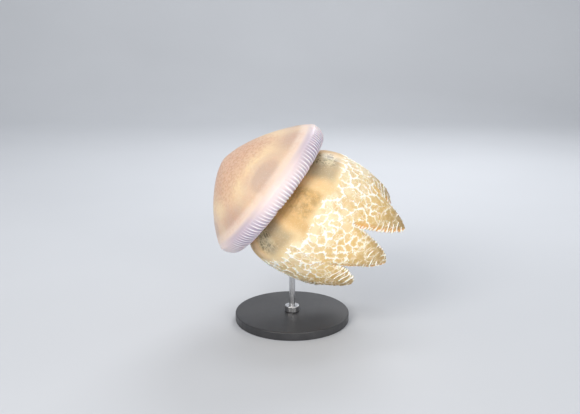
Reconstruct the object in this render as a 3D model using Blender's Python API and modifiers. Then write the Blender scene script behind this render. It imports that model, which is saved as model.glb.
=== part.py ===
"""A jelly blubber (Catostylus mosaicus), modelled life-size in its swimming pose on a display stand.

The animal is designed upright in its own frame: the origin is the centre of the bell's widest circle, +Z
runs to the apex, and the eight oral arms hang towards -Z. Azimuths are measured about that axis from -Y
towards +X, in degrees. The meshes lean (shear) a little along X, and an empty tilts them to the swimming
pose and lifts them above the stand. The world's origin is the centre of the stand's underside, with +Z up.
Lengths are in metres.
"""

import math

import bmesh
import bpy
from mathutils import Matrix

# Driving dimensions of the bell.
BELL_RADIUS = 0.125
DOME_HEIGHT = 0.663 * BELL_RADIUS  # widest circle to apex
DOME_FALL = 1.20  # powers of the dome's outline; an ellipse has 2 and 2
DOME_SPREAD = 1.505
EDGE_DEPTH = 0.193 * BELL_RADIUS  # widest circle down to the lappets' tips
EDGE_RADIUS = 0.866 * BELL_RADIUS
EDGE_POWER = 2.25
CAVITY_RADIUS = 0.64 * BELL_RADIUS
CAVITY_HEIGHT = 0.37 * BELL_RADIUS
MARGIN_CUT = 0.05 * BELL_RADIUS  # height of the plane that parts the dome from the margin
MARGIN_THICKNESS = 0.0032
LAPPETS = 64  # pairs of lappets, each drawn as one wave of the edge
LAPPET_DEPTH = 0.0012
SENSE_ORGANS = 8  # rhopalia, each in a deeper cleft between two groups of lappets
SENSE_CLEFT = 0.0022

# The arm disc, and the four pillars that hang it under the bell.
DISC_TOP = 0.008
DISC_BOTTOM = -0.012
DISC_RADIUS = 0.056
PILLARS = 4  # at azimuths 45, 135, 225 and 315
PILLAR_CIRCLE = 0.040
PILLAR_RADIUS = 0.011
PILLAR_GAP = 0.0005  # below the bell's ceiling

# The oral arms: (name, azimuth of the middle, azimuth of the tip, depth of the tip, depth at which it parts
# from the arm before it in this list). The list goes once round the animal.
ARMS = (
    ("arm_front", 2, 7.5, 0.210, 0.143),
    ("arm_front_right", 43, 53, 0.207, 0.126),
    ("arm_right", 96, 74, 0.171, 0.150),
    ("arm_back_right", 138, 141, 0.186, 0.116),
    ("arm_back", 181, 185, 0.197, 0.132),
    ("arm_back_left", 225, 229, 0.190, 0.130),
    ("arm_left", 270, 276, 0.176, 0.128),
    ("arm_front_left", 318, 322, 0.194, 0.134),
)
ARM_TOP = 0.0123
SHOULDER = 0.066  # depth of the cut between an arm's smooth upper part and its frilled lower part
ARM_GAP = 0.0003  # from an arm's side to the plane between it and its neighbour
OUTER_RADIUS = ((0.012, 0.058), (0.022, 0.080), (0.036, 0.097), (0.056, 0.1055), (0.085, 0.1075),
                (0.115, 0.1065), (0.150, 0.101), (0.216, 0.090))  # (depth, distance from the axis)
ARM_DEPTH_INWARD = ((0.0, 0.93), (0.30, 0.92), (0.60, 0.72), (0.85, 0.36), (1.0, 0.07))  # share of the radius
TIP_TURN = 0.10  # share by which the outer face turns in at the tip
TIP_TURN_POWER = 14
BLUNTNESS = 0.9985  # where the last ring lies, as a share of the tip's depth
PLATE = 0.022  # thickness of the outer plate that joins an arm's two outer wings
WEB = 0.009  # half thickness of the inner wing
CORNER = 0.007  # rounding of the outer wings
WINDOW_DEPTH = 0.005  # hollow of the smooth window on every second upper arm
WINDOW_CENTRE = 0.042
WINDOW_REACH = 0.015

# The pose, and the display stand.
LEAN = 0.10  # sideways shift along X for each metre down the axis
TILT = math.radians(-52.4)
BELL_CENTRE = (-0.040, 0.0, 0.228)
BASE_RADIUS = 0.095
BASE_HEIGHT = 0.014
ROD_RADIUS = 0.005
ROD_TOP = 0.098
COLLAR_RADIUS = 0.012
COLLAR_HEIGHT = 0.010
FIT = 0.0003  # between pieces that touch

# Facets.
DOME_STEPS = 48
MARGIN_STEPS = 2 * LAPPETS
ROUND_STEPS = 48
DISC_STEPS = 24
ROD_STEPS = 24
UPPER_ROWS = 4
LOWER_ROWS = 10

LEANING = Matrix.Shear("XY", 4, (-LEAN, 0.0))

COLOURS = {
    "dome": ((0.80, 0.55, 0.36), 0.35),
    "margin": ((0.72, 0.66, 0.74), 0.35),
    "disc": ((0.72, 0.52, 0.28), 0.45),
    "arm_upper": ((0.78, 0.60, 0.36), 0.45),
    "arm_lower": ((0.86, 0.72, 0.46), 0.50),
    "stand": ((0.05, 0.05, 0.055), 0.45),
    "steel": ((0.62, 0.62, 0.63), 0.30),
}


def material(slot):
    """The Principled material of one slot, made once."""
    made = bpy.data.materials.get(slot)
    if made is None:
        colour, roughness = COLOURS[slot]
        made = bpy.data.materials.new(slot)
        made.use_nodes = True
        shader = made.node_tree.nodes["Principled BSDF"]
        shader.inputs["Base Color"].default_value = (*colour, 1.0)
        shader.inputs["Roughness"].default_value = roughness
        shader.inputs["Metallic"].default_value = 1.0 if slot == "steel" else 0.0
    return made


def collection(name, shown=True):
    made = bpy.data.collections.new(name)
    bpy.context.scene.collection.children.link(made)
    made.hide_render = not shown
    return made


def place(mesh, name, slot, into, pose=None):
    """An object for the mesh. With a pose, which is the animal's empty, the mesh leans and rides on it."""
    if pose is not None:
        mesh.transform(LEANING)
    mesh.shade_smooth()
    mesh.set_sharp_from_angle(angle=math.radians(40))
    made = bpy.data.objects.new(name, mesh)
    made.data.materials.append(material(slot))
    into.objects.link(made)
    made.parent = pose
    return made


def evaluated_copy(source):
    """The object's mesh with its modifiers applied. The object is removed."""
    graph = bpy.context.evaluated_depsgraph_get()
    mesh = bpy.data.meshes.new_from_object(source.evaluated_get(graph))
    bpy.data.objects.remove(source)
    return mesh


def turned(profile, steps):
    """The closed mesh that a profile of (radius, height) points sweeps about Z."""
    line = bpy.data.meshes.new("profile")
    edges = [(i, i + 1) for i in range(len(profile) - 1)]
    if profile[0][0] > 0:
        edges.append((len(profile) - 1, 0))
    line.from_pydata([(r, 0.0, z) for r, z in profile], edges, [])
    guide = bpy.data.objects.new("profile", line)
    bpy.context.scene.collection.objects.link(guide)
    screw = guide.modifiers.new("turn", "SCREW")
    screw.steps = steps
    screw.render_steps = steps
    screw.use_merge_vertices = True
    screw.merge_threshold = 0.00005
    return evaluated_copy(guide)


def through(keys, at):
    """The value at one place of the smooth curve through (place, value) keys, flat beyond its ends."""
    if at <= keys[0][0]:
        return keys[0][1]
    if at >= keys[-1][0]:
        return keys[-1][1]
    i = max(k for k in range(len(keys) - 1) if keys[k][0] <= at)

    def slope(k):
        if k in (0, len(keys) - 1):
            return 0.0
        return (keys[k + 1][1] - keys[k - 1][1]) / (keys[k + 1][0] - keys[k - 1][0])

    (x0, y0), (x1, y1) = keys[i], keys[i + 1]
    span = x1 - x0
    t = (at - x0) / span
    return ((1 + 2 * t) * (1 - t) ** 2 * y0 + t * (1 - t) ** 2 * span * slope(i)
            + t * t * (3 - 2 * t) * y1 - t * t * (1 - t) * span * slope(i + 1))


def dome_radius(height):
    """The bell's outer radius above its widest circle."""
    return BELL_RADIUS * (1 - (height / DOME_HEIGHT) ** DOME_FALL) ** (1 / DOME_SPREAD)


def cavity_radius(height):
    """The hollow's radius above the widest circle, an ellipse."""
    return CAVITY_RADIUS * math.sqrt(max(0.0, 1 - (height / CAVITY_HEIGHT) ** 2))


def cavity_wall():
    """(radius, height) points up the hollow's wall, from the margin's cut to its top."""
    rows = 7
    start = math.asin((MARGIN_CUT + FIT) / CAVITY_HEIGHT)
    wall = []
    for i in range(rows):
        angle = start + (0.5 * math.pi - start) * i / (rows - 1)
        radius = CAVITY_RADIUS * math.cos(angle) if i < rows - 1 else 0.0
        wall.append((radius, CAVITY_HEIGHT * math.sin(angle)))
    return wall


def dome_profile():
    """Apex down the outside to the margin's cut, then up the hollow's wall to its top."""
    rows = 12
    outside = []
    for i in range(rows):
        share = math.sin(0.5 * math.pi * i / (rows - 1))
        radius = share * dome_radius(MARGIN_CUT)
        height = DOME_HEIGHT * (1 - (radius / BELL_RADIUS) ** DOME_SPREAD) ** (1 / DOME_FALL)
        outside.append((radius, height))
    outside[-1] = (outside[-1][0], MARGIN_CUT + FIT)
    return outside + cavity_wall()


def margin_profile():
    """The margin's section, from its top outer corner down to the lappets' tips and back up the inside."""
    outside = [(dome_radius(MARGIN_CUT), MARGIN_CUT), (BELL_RADIUS, 0.0)]
    fall = []
    steps = 4
    for i in range(1, steps + 1):
        angle = 0.5 * math.pi * i / steps
        out = math.cos(angle) ** (2 / EDGE_POWER) if i < steps else 0.0
        down = math.sin(angle) ** (2 / EDGE_POWER)
        fall.append((EDGE_RADIUS + (BELL_RADIUS - EDGE_RADIUS) * out, -EDGE_DEPTH * down))
    edge = [(EDGE_RADIUS - MARGIN_THICKNESS * 0.8, -0.98 * EDGE_DEPTH)]
    inside = [
        (EDGE_RADIUS - MARGIN_THICKNESS * 0.3, -0.60 * EDGE_DEPTH),
        (0.80 * BELL_RADIUS, -0.05 * EDGE_DEPTH),
        (cavity_radius(MARGIN_CUT), MARGIN_CUT),
    ]
    return outside + fall + edge + inside


def cleft(azimuth):
    """How far the edge is drawn up at an azimuth in radians: a lappet's outline, deeper at a sense organ."""
    lappet = LAPPET_DEPTH * (0.5 - 0.5 * math.cos(LAPPETS * azimuth))
    pitch = 2 * math.pi / SENSE_ORGANS
    off = abs((azimuth + pitch / 2) % pitch - pitch / 2) * EDGE_RADIUS
    return lappet + SENSE_CLEFT * math.exp(-((off / 0.003) ** 2))


def make_bell(into, pose):
    place(turned(dome_profile(), DOME_STEPS), "bell_dome", "dome", into, pose)
    margin = turned(margin_profile(), MARGIN_STEPS)
    for vertex in margin.vertices:
        share = max(0.0, (-vertex.co.z - 0.45 * EDGE_DEPTH) / (0.55 * EDGE_DEPTH))
        vertex.co.z += share * cleft(math.atan2(vertex.co.y, vertex.co.x))
    place(margin, "bell_margin", "margin", into, pose)


def make_arm_disc(into, pose):
    middle = 0.5 * (DISC_TOP + DISC_BOTTOM)
    half = 0.5 * (DISC_TOP - DISC_BOTTOM)
    rim = []
    for i in range(5):
        angle = 0.5 * math.pi - math.pi * i / 4
        rim.append((DISC_RADIUS - half + half * math.cos(angle), middle + half * math.sin(angle)))
    profile = [(0.0, DISC_TOP)] + rim + [(0.0, DISC_BOTTOM)]
    place(turned(profile, DISC_STEPS), "arm_disc", "disc", into, pose)


def make_pillars(into, cutters, pose):
    """Four posts from the arm disc to the bell's ceiling, trimmed by the hollow's own shape."""
    profile = [(radius, height - PILLAR_GAP) for radius, height in reversed(cavity_wall())]
    profile += [(profile[-1][0], 0.0), (0.0, 0.0)]
    hollow = place(turned(profile, DOME_STEPS), "hollow_shape", "disc", cutters)
    hollow.display_type = "WIRE"
    hollow.hide_render = True
    foot = DISC_TOP + FIT
    for i in range(PILLARS):
        azimuth = 2 * math.pi * (i + 0.5) / PILLARS
        bm = bmesh.new()
        bmesh.ops.create_cone(bm, cap_ends=True, segments=12, radius1=0.9 * PILLAR_RADIUS,
                              radius2=1.35 * PILLAR_RADIUS, depth=CAVITY_HEIGHT)
        x, y = PILLAR_CIRCLE * math.sin(azimuth), -PILLAR_CIRCLE * math.cos(azimuth)
        centre = (x, y, foot + CAVITY_HEIGHT / 2)
        bmesh.ops.translate(bm, vec=centre, verts=bm.verts)
        mesh = bpy.data.meshes.new("pillar")
        bm.to_mesh(mesh)
        bm.free()
        post = place(mesh, "post", "disc", into)
        trim = post.modifiers.new("trim", "BOOLEAN")
        trim.operation = "INTERSECT"
        trim.object = hollow
        place(evaluated_copy(post), f"disc_pillar_{i + 1}", "disc", into, pose)


def edges_of(index, depth):
    """(left azimuth, right azimuth, middle azimuth) of an arm at a depth, in degrees.

    Down to the point where it parts from a neighbour, an arm reaches the plane halfway to it. Below that,
    its edge runs on to the tip: nearly straight on the left and bowed on the right.
    """
    _, middle, tip, tip_depth, part_left = ARMS[index]
    before, after = ARMS[index - 1], ARMS[(index + 1) % len(ARMS)]
    part_right = after[4]
    left = middle - 0.5 * ((middle - before[1]) % 360)
    right = middle + 0.5 * ((after[1] - middle) % 360)
    share_left = min(1.0, max(0.0, (depth - part_left) / (tip_depth - part_left)))
    share_right = min(1.0, max(0.0, (depth - part_right) / (tip_depth - part_right)))
    left = tip + (left - tip) * (1 - share_left**1.3) ** 0.68
    right = tip + (right - tip) * (1 - share_right**2.6) ** 0.58
    return left, right, 0.5 * (left + right)


def polar(radius, azimuth):
    angle = math.radians(azimuth)
    return radius * math.sin(angle), -radius * math.cos(angle)


def arm_section(index, depth):
    """The (x, y) outline of an arm at a depth: an outer plate with two wings, and an inner wing."""
    left, right, middle = edges_of(index, depth)
    tip_depth = ARMS[index][3]
    along = (depth - ARM_TOP) / (tip_depth - ARM_TOP)
    outer = through(OUTER_RADIUS, depth) * (1 - TIP_TURN * along**TIP_TURN_POWER)
    inner = outer * (1 - through(ARM_DEPTH_INWARD, along))
    half = 0.5 * math.radians(right - left)
    width = outer * math.sin(half)
    plate = min(PLATE, 0.42 * (outer - inner), 0.75 * width + 0.002)
    web = min(WEB, 0.42 * width)
    corner = min(CORNER, 0.45 * width, 0.45 * plate)
    window = WINDOW_DEPTH if index % 2 else 0.2 * WINDOW_DEPTH
    window *= math.exp(-(((depth - WINDOW_CENTRE) / WINDOW_REACH) ** 2))

    def at_edge(radius, side):
        """A point on the wing's flank, a gap's width short of the plane between the arms."""
        edge = right if side > 0 else left
        return polar(radius, edge - side * math.degrees(math.asin(min(1.0, ARM_GAP / radius))))

    def off_middle(radius, offset):
        x, y = polar(radius, middle)
        cross = math.radians(middle)
        limit = radius * math.tan(half) - ARM_GAP / math.cos(half)
        offset = max(-limit, min(limit, offset))
        return x + offset * math.cos(cross), y + offset * math.sin(cross)

    def side_points(side):
        """From the inner wing's root to the outer face, on one side."""
        span = math.degrees(half) * side
        turn = math.degrees(corner / outer) * side
        deep = outer - plate
        return [
            off_middle(inner + 0.4 * web, side * 0.8 * web),
            off_middle(inner + 0.55 * (deep - inner), side * web),
            off_middle(deep - 0.15 * plate, side * (web + 0.25 * (width - web))),
            at_edge(deep + 0.45 * plate, side),
            at_edge(outer - corner, side),
            polar(outer - 0.12 * corner, middle + span - turn),
            polar(outer - 0.5 * window, middle + 0.45 * span),
        ]

    keel = off_middle(inner, 0.0)
    face = polar(outer - window, middle)
    return [keel] + side_points(1) + [face] + side_points(-1)[::-1]


def loft(rings):
    """A closed mesh through rings of as many points each, with flat ends. The first ring is the top one."""
    bm = bmesh.new()
    loops = [[bm.verts.new(point) for point in ring] for ring in rings]
    for upper, lower in zip(loops, loops[1:]):
        for i in range(len(upper)):
            j = (i + 1) % len(upper)
            bm.faces.new((upper[i], lower[i], lower[j], upper[j]))
    bm.faces.new(loops[0])
    bm.faces.new(loops[-1][::-1])
    bmesh.ops.recalc_face_normals(bm, faces=bm.faces)
    bmesh.ops.triangulate(bm, faces=bm.faces)
    mesh = bpy.data.meshes.new("loft")
    bm.to_mesh(mesh)
    bm.free()
    return mesh


def arm_rings(index, depths):
    return [[(x, y, -depth) for x, y in arm_section(index, depth)] for depth in depths]


def make_arms(into, drill, pose):
    for index, (name, _, _, tip_depth, _) in enumerate(ARMS):
        fall = SHOULDER - FIT / 2 - ARM_TOP
        depths = [ARM_TOP + fall * i / UPPER_ROWS for i in range(UPPER_ROWS + 1)]
        place(loft(arm_rings(index, depths)), f"{name}_upper", "arm_upper", into, pose)
        start = SHOULDER + FIT / 2
        fall = BLUNTNESS * tip_depth - start
        depths = [start + fall * math.sin(0.5 * math.pi * i / LOWER_ROWS) for i in range(LOWER_ROWS + 1)]
        lobe = place(loft(arm_rings(index, depths)), f"{name}_lower", "arm_lower", into, pose)
        if name == "arm_left":
            bore = lobe.modifiers.new("rod_socket", "BOOLEAN")
            bore.operation = "DIFFERENCE"
            bore.object = drill


def cylinder(name, slot, radius, bottom, top, into, segments, rounding=0.0):
    bpy.ops.mesh.primitive_cylinder_add(vertices=segments, radius=radius, depth=top - bottom,
                                        location=(0.0, 0.0, 0.5 * (bottom + top)))
    made = bpy.context.object
    made.name = name
    made.data.name = name
    for holder in list(made.users_collection):
        holder.objects.unlink(made)
    into.objects.link(made)
    made.data.materials.append(material(slot))
    if rounding:
        bevel = made.modifiers.new("rounding", "BEVEL")
        bevel.width = rounding
        bevel.segments = 2
        bevel.angle_limit = math.radians(50)
    made.data.shade_smooth()
    made.data.set_sharp_from_angle(angle=math.radians(40))
    return made


def make_stand(into):
    """A flat round base, a collar on it, and one rod that ends in the socket of the left arm."""
    collar = BASE_HEIGHT + FIT
    rod = collar + COLLAR_HEIGHT + FIT
    cylinder("stand_base", "stand", BASE_RADIUS, 0.0, BASE_HEIGHT, into, ROUND_STEPS, 0.0015)
    cylinder("stand_collar", "steel", COLLAR_RADIUS, collar, collar + COLLAR_HEIGHT, into, ROD_STEPS, 0.001)
    cylinder("stand_rod", "steel", ROD_RADIUS, rod, ROD_TOP, into, ROD_STEPS)


def main():
    for old in list(bpy.data.objects):
        bpy.data.objects.remove(old)
    animal = collection("jelly_blubber")
    cutters = collection("cutters", shown=False)
    drill = cylinder("rod_drill", "steel", ROD_RADIUS + FIT, BASE_HEIGHT, ROD_TOP + FIT, cutters, ROD_STEPS)
    drill.display_type = "WIRE"
    drill.hide_render = True
    pose = bpy.data.objects.new("swimming_pose", None)
    animal.objects.link(pose)
    pose.location = BELL_CENTRE
    pose.rotation_euler = (0.0, TILT, 0.0)
    make_bell(animal, pose)
    make_arm_disc(animal, pose)
    make_pillars(animal, cutters, pose)
    make_arms(animal, drill, pose)
    make_stand(animal)


main()
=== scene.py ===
"""The looks of a life-size jelly blubber (Catostylus mosaicus) on a display stand.

Two skins replace the solids of flesh: one for the bell, and one for the arm disc, its pillars and the eight
oral arms. Both are designed upright in the animal's own frame, as the solids are: the origin is the centre of
the bell's widest circle, +Z runs to the apex, and azimuths are measured about that axis from -Y towards +X.
Depths are measured down it. Lengths are in metres. Azimuths are in degrees, or in radians where points are
swept about the axis, as the bell's are.
"""

import math

import bmesh
import bpy
import numpy as np
from mathutils import Matrix, Vector


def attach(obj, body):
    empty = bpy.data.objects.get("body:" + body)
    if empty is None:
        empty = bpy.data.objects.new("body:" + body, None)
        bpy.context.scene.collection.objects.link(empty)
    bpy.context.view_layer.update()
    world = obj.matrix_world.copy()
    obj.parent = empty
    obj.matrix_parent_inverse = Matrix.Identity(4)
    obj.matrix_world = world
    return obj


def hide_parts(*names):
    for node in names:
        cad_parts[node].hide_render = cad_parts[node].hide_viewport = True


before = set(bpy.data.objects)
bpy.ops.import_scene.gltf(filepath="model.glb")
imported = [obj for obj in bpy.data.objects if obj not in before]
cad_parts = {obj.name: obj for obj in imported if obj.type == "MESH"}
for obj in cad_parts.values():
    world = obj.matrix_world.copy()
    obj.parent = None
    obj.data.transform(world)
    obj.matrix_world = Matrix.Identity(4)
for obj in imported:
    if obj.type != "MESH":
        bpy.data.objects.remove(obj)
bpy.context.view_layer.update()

# The bell, with the solids' sizes.
BELL_RADIUS = 0.125
DOME_HEIGHT = 0.663 * BELL_RADIUS  # widest circle to apex
DOME_FALL = 1.20  # powers of the dome's outline; an ellipse has 2 and 2
DOME_SPREAD = 1.505
EDGE_DEPTH = 0.193 * BELL_RADIUS  # widest circle down to the lappets' tips
EDGE_RADIUS = 0.866 * BELL_RADIUS
EDGE_POWER = 2.25
CAVITY_RADIUS = 0.64 * BELL_RADIUS
CAVITY_HEIGHT = 0.37 * BELL_RADIUS
MARGIN_CUT = 0.05 * BELL_RADIUS  # height at which the margin's inside meets the hollow's wall
MARGIN_THICKNESS = 0.0032

# The arm disc, and the four pillars that hang it under the bell.
DISC_TOP = 0.008
DISC_BOTTOM = -0.012
DISC_RADIUS = 0.056
PILLARS = 4  # at azimuths 45, 135, 225 and 315
PILLAR_CIRCLE = 0.040
PILLAR_RADIUS = 0.011

# The oral arms: (azimuth of the middle, azimuth of the tip, depth of the tip, depth at which it parts from
# the arm before it in this list). The list goes once round the animal.
ARMS = (
    (2, 7.5, 0.210, 0.143),
    (43, 53, 0.207, 0.126),
    (96, 74, 0.171, 0.150),
    (138, 141, 0.186, 0.116),
    (181, 185, 0.197, 0.132),
    (225, 229, 0.190, 0.130),
    (270, 276, 0.176, 0.128),
    (318, 322, 0.194, 0.134),
)
ARM_TOP = 0.0123
ARM_GAP = 0.0003  # from an inner wing to the plane between two arms; their flanks cross it by as much
OUTER_RADIUS = ((0.012, 0.058), (0.022, 0.080), (0.036, 0.097), (0.056, 0.1055), (0.085, 0.1075),
                (0.115, 0.1065), (0.150, 0.101), (0.216, 0.090))  # (depth, distance from the axis)
ARM_DEPTH_INWARD = ((0.0, 0.93), (0.30, 0.92), (0.60, 0.72),
                    (0.85, 0.36), (1.0, 0.07))  # (share of the way to the tip, share of the radius)
TIP_TURN = 0.10  # share by which the outer face turns in at the tip
TIP_TURN_POWER = 14
BLUNTNESS = 0.9985  # where the last ring lies, as a share of the tip's depth
PLATE = 0.022  # thickness of the outer plate that joins an arm's two outer wings
WEB = 0.009  # half thickness of the inner wing
CORNER = 0.007  # rounding of the outer wings
WINDOW_DEPTH = 0.005  # hollow of the smooth window on every second upper arm; the others have a fifth of it
WINDOW_CENTRE = 0.042
WINDOW_REACH = 0.015

# The pose.
LEAN = 0.10  # sideways shift along X for each metre down the axis
TILT = math.radians(-52.4)
BELL_CENTRE = Vector((-0.040, 0.0, 0.228))
POSE = Matrix.Translation(BELL_CENTRE) @ Matrix.Rotation(TILT, 4, "Y") @ Matrix.Shear("XY", 4, (-LEAN, 0.0))

# Fine detail of the bell's skin.
BELL_COLUMNS = 1024
DOME_ROWS, MARGIN_ROWS, LINING_ROWS, HOLLOW_ROWS = 64, 27, 25, 31
BAND_TOP = 0.012  # height at which the grooved marginal band begins
LAPPETS = 128
LAPPET_DEPTH = 0.0022
GROOVE_DEPTH = 0.0007
SENSE_ORGANS = 8  # each in a notch between two groups of lappets
NOTCH_HALF_WIDTH = 0.0028
NOTCH_DEPTH = 0.0022
NOTCH_INSET = 0.0008
RIPPLE_OUT = 0.0007  # slow waves of the whole margin, outwards and upwards
RIPPLE_UP = 0.0006
FOLD_HEIGHT = 0.0006  # rings in the hollow
FOLD_SPACING = 0.0052
INNER_TURN = 16.0  # azimuth of the first of four stomach pouches, which the colours of the arms' roots follow
POUCH_HEIGHT = 0.022  # of a pouch's middle
POUCH_HALF_WIDTH = 0.060
POUCH_HALF_HEIGHT = 0.030

# Fine detail of the arms' skin.
VOXEL = 0.0010  # of the mesh that fuses the arms, the disc and the pillars
DISC_OVERLAP = 0.001  # how far the disc's underside reaches into the arms
ARM_OVERLAP = 0.0006  # how far the arms' tops reach towards the disc
NET_COLUMNS = 50  # cells of the net round the animal
NET_LENGTHS = ((0.0, 0.0140), (0.10, 0.0140), (0.15, 0.0115), (0.215, 0.0085))  # (depth, length of a cell)
NET_LAYER = 0.020  # radial thickness of one layer of cells
NET_HALF_WIDTH = 0.0011  # of a plain line
NET_BENDS = ((0.42, 0.17, 11), (0.20, 0.12, 12), (0.11, 0.07, 13))  # (size, sway, seed) of the noise
NET_CIRCLE = 6.7  # radius, in cells, of the circle on which that noise is read, so that it has no seam
RIB_SPACING = 0.0082
BEAD_SPACING = 0.0050
RUFFLE_SPACING = 0.0062
LINE_RELIEF = 0.0012
FRILL_RELIEF = 0.0014
PUFF_RELIEF = 0.0003  # of the cells between the net's lines
RUFFLE_RELIEF = 0.0008
SKIN_LIFT = 0.0003  # of the whole skin, which its smoothing has shrunk a little
SIDE_TAPER = 0.0035  # how far the sides of an arm's outer face are drawn in near its tip

# The studio.
FLOOR_HALF_WIDTH = 5.0
FLOOR_FRONT, FLOOR_BACK = -4.0, 2.2
SWEEP_RADIUS, SWEEP_STEPS = 1.2, 16
WALL_TOP = 5.0
SUBJECT = (0.0, 0.0, 0.18)
LIGHTS = (  # (name, place, aim, diameter, watts, colour)
    ("key", (-1.05, -1.6, 1.35), SUBJECT, 1.3, 29, (1.0, 0.97, 0.93)),
    ("fill", (1.0, -1.8, 0.35), SUBJECT, 1.2, 18, (1.0, 0.98, 0.95)),
    ("rim", (0.5, 1.4, 1.5), SUBJECT, 0.9, 16, (0.97, 0.98, 1.0)),
    ("backdrop", (0.0, 0.9, 2.8), (0.0, 3.3, 1.0), 1.8, 34, (1.0, 1.0, 1.0)),
)
SKY_COLOUR = (0.92, 0.94, 0.97, 1)
SKY_STRENGTH = 0.50
CAMERA_ELEVATION = math.radians(14.3)
CAMERA_DISTANCE = 1.3104
CAMERA_ASIDE, CAMERA_DROP = 0.0364, 0.0344  # from the bell's centre to the point that the camera looks at


# ---------------------------------------------------------------------------------------------- numbers

def smoothstep(low, high, value):
    """0 below low to 1 above high, smoothly. It falls where low is the higher of the two."""
    share = np.clip((value - low) / (high - low), 0.0, 1.0)
    return share * share * (3 - 2 * share)


def hump(value, reach):
    """1 where the value is 0, fading to either side of it."""
    return np.exp(-((value / reach) ** 2))


def hashed(*keys):
    """A steady pseudo-random number from 0 to 1 for each set of whole-number keys."""
    mixed = np.zeros(np.broadcast(*keys).shape, dtype=np.uint64) + np.uint64(0x9E3779B97F4A7C15)
    for key in keys:
        mixed = mixed ^ (np.asarray(key).astype(np.int64).astype(np.uint64) * np.uint64(0xBF58476D1CE4E5B9))
        mixed = (mixed ^ (mixed >> np.uint64(29))) * np.uint64(0x94D049BB133111EB)
    mixed = mixed ^ (mixed >> np.uint64(32))
    return (mixed >> np.uint64(11)).astype(np.float64) / float(1 << 53)


def soft_noise(points, size, seed):
    """Smooth noise from -1 to 1 with features about as long as size."""
    at = points / size
    cell = np.floor(at).astype(np.int64)
    part = at - cell
    part = part * part * (3 - 2 * part)
    total = np.zeros(len(points))
    for corner in np.ndindex(2, 2, 2):
        weight = np.prod(np.where(corner, part, 1 - part), axis=1)
        x, y, z = (cell + corner).T
        total += weight * hashed(x, y, z, seed)
    return 2 * total - 1


def through(keys, at):
    """The value at each place of the smooth curve through (place, value) keys, flat beyond its ends."""
    x, y = np.array(keys, dtype=float).T
    slopes = np.zeros(len(x))
    slopes[1:-1] = (y[2:] - y[:-2]) / (x[2:] - x[:-2])
    at = np.clip(at, x[0], x[-1])
    i = np.clip(np.searchsorted(x, at, side="right") - 1, 0, len(x) - 2)
    span = x[i + 1] - x[i]
    t = (at - x[i]) / span
    return ((1 + 2 * t) * (1 - t) ** 2 * y[i] + t * (1 - t) ** 2 * span * slopes[i]
            + t * t * (3 - 2 * t) * y[i + 1] - t * t * (1 - t) * span * slopes[i + 1])


# ----------------------------------------------------------------------------------------------- meshes

def new_object(name, mesh):
    made = bpy.data.objects.new(name, mesh)
    bpy.context.scene.collection.objects.link(made)
    return made


def posed_object(name, mesh):
    """An object for a skin that was made upright in the animal's frame."""
    mesh.transform(POSE)
    mesh.shade_smooth()
    return new_object(name, mesh)


def swept(radius, height, azimuth):
    """The grid of points, (row, column, xyz), at radii and heights about Z. The azimuth is in radians."""
    x, y, z = np.broadcast_arrays(radius * np.sin(azimuth), -radius * np.cos(azimuth), height)
    return np.stack([x, y, z], -1)


def closed_grid(name, rows):
    """A closed mesh over a grid of points, (row, column, xyz), whose columns go all the way round.

    Its last two vertices are the middles of the fans that close the first and the last row.
    """
    count, columns = rows.shape[:2]
    mesh = bpy.data.meshes.new(name)
    index = np.arange(count * columns).reshape(count, columns)
    upper, lower = index[:-1], index[1:]
    quads = np.stack([upper, lower, np.roll(lower, -1, 1), np.roll(upper, -1, 1)], -1).reshape(-1, 4)
    mesh.vertices.add(count * columns)
    mesh.vertices.foreach_set("co", rows.reshape(-1).astype(np.float32))
    mesh.loops.add(quads.size)
    mesh.loops.foreach_set("vertex_index", quads.reshape(-1).astype(np.int32))
    mesh.polygons.add(len(quads))
    mesh.polygons.foreach_set("loop_start", np.arange(0, quads.size, 4, dtype=np.int32))
    mesh.update(calc_edges=True)
    bm = bmesh.new()
    bm.from_mesh(mesh)
    for ring in (index[0].tolist(), index[-1].tolist()):
        bm.verts.ensure_lookup_table()
        middle = bm.verts.new(sum((bm.verts[i].co for i in ring), Vector()) / len(ring))
        bm.verts.ensure_lookup_table()
        for a, b in zip(ring, ring[1:] + ring[:1]):
            bm.faces.new((bm.verts[a], bm.verts[b], middle))
    bmesh.ops.recalc_face_normals(bm, faces=bm.faces)
    bm.to_mesh(mesh)
    bm.free()
    return mesh


def points_of(mesh):
    co = np.empty(len(mesh.vertices) * 3, dtype=np.float32)
    mesh.vertices.foreach_get("co", co)
    return co.reshape(-1, 3).astype(np.float64)


def normals_of(mesh):
    normal = np.empty(len(mesh.vertices) * 3, dtype=np.float32)
    mesh.vertex_normals.foreach_get("vector", normal)
    return normal.reshape(-1, 3).astype(np.float64)


def set_points(mesh, points):
    mesh.vertices.foreach_set("co", points.reshape(-1).astype(np.float32))
    mesh.update()


def note(mesh, name, values):
    """Keeps one number for each vertex, for the material to read."""
    mesh.attributes.new(name, "FLOAT", "POINT").data.foreach_set("value", values.astype(np.float32))


# --------------------------------------------------------------------------------------------- the bell

def dome_height(radius):
    """The height of the bell's outside above its widest circle."""
    return DOME_HEIGHT * np.clip(1 - (radius / BELL_RADIUS) ** DOME_SPREAD, 0, 1) ** (1 / DOME_FALL)


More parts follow.
